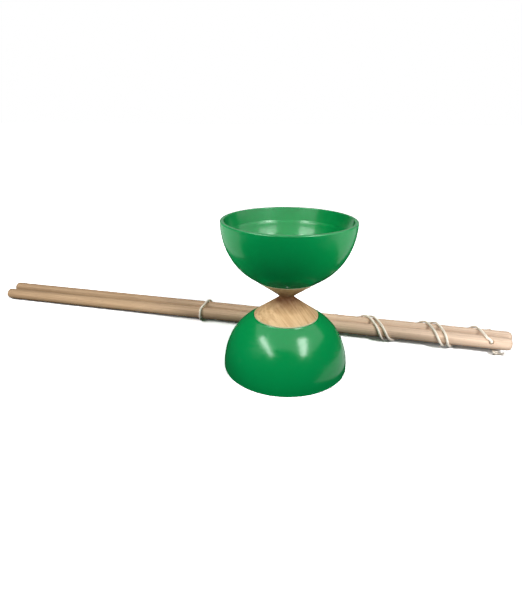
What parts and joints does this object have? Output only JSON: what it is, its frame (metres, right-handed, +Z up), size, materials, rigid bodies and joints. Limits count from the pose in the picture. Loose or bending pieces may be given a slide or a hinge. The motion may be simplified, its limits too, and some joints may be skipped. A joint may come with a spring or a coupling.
{
  "type": "diabolo yo-yo set",
  "caption": "Spinning two-cup diabolo yo-yo on a turned wooden spool, beside two wooden hand sticks bound together by their cotton string.",
  "frame": {"origin": "centre of the underside of the whole set's box, on the surface that it stands on", "axes": "+X along the hand sticks towards the end where the string is tied, +Y from the diabolo towards the sticks, +Z up"},
  "size_m": [0.4591, 0.1153, 0.1066],
  "materials": {
    "green_plastic": "glossy moulded plastic",
    "spool_wood": "turned, unvarnished",
    "stick_wood": "raw dowel",
    "cotton_string": "twisted cotton",
    "zinc_steel": "zinc plated"
  },
  "bodies": {
    "hand_sticks": {"front_stick": "stick_wood", "rear_stick": "stick_wood", "string": "cotton_string", "front_knot": "cotton_string", "rear_knot": "cotton_string"},
    "diabolo": {"lower_cup": "green_plastic", "upper_cup": "green_plastic", "spool": "spool_wood", "lower_washer": "zinc_steel", "lower_screw": "zinc_steel", "upper_washer": "zinc_steel", "upper_screw": "zinc_steel"}
  },
  "joints": [
    {"name": "diabolo_spin", "type": "hinge", "parent": "hand_sticks", "child": "diabolo", "pos_m": [0.0626, -0.0132, 0.0533], "axis": [0, 0, 1], "continuous": true}
  ]
}
